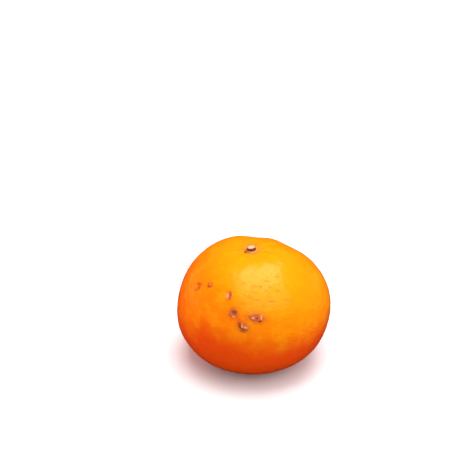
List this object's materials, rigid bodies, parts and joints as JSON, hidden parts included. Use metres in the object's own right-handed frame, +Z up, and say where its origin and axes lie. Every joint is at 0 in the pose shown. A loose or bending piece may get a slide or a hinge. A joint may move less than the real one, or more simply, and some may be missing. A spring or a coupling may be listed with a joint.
{
  "type": "kara mandarin",
  "caption": "Whole kara mandarin as picked: a squat orange citrus fruit with a dipped, furrowed stem end, dried calyx and clipped stalk stub, resting on a small flat spot.",
  "frame": {"origin": "centre of the fruit's box in plan, at the surface that it rests on", "axes": "+Z up towards the stem end; -Y towards the viewer; +X to the viewer's right"},
  "size_m": [0.0696, 0.0696, 0.0559],
  "materials": {
    "peel": "satin, waxy, finely pored orange citrus peel",
    "dry_calyx": "matt, dry brown",
    "cut_stalk": "matt, pale cut wood with a brown rim"
  },
  "bodies": {
    "root": {"fruit": "peel", "calyx": "dry_calyx", "stem_stub": "cut_stalk"}
  },
  "joints": []
}
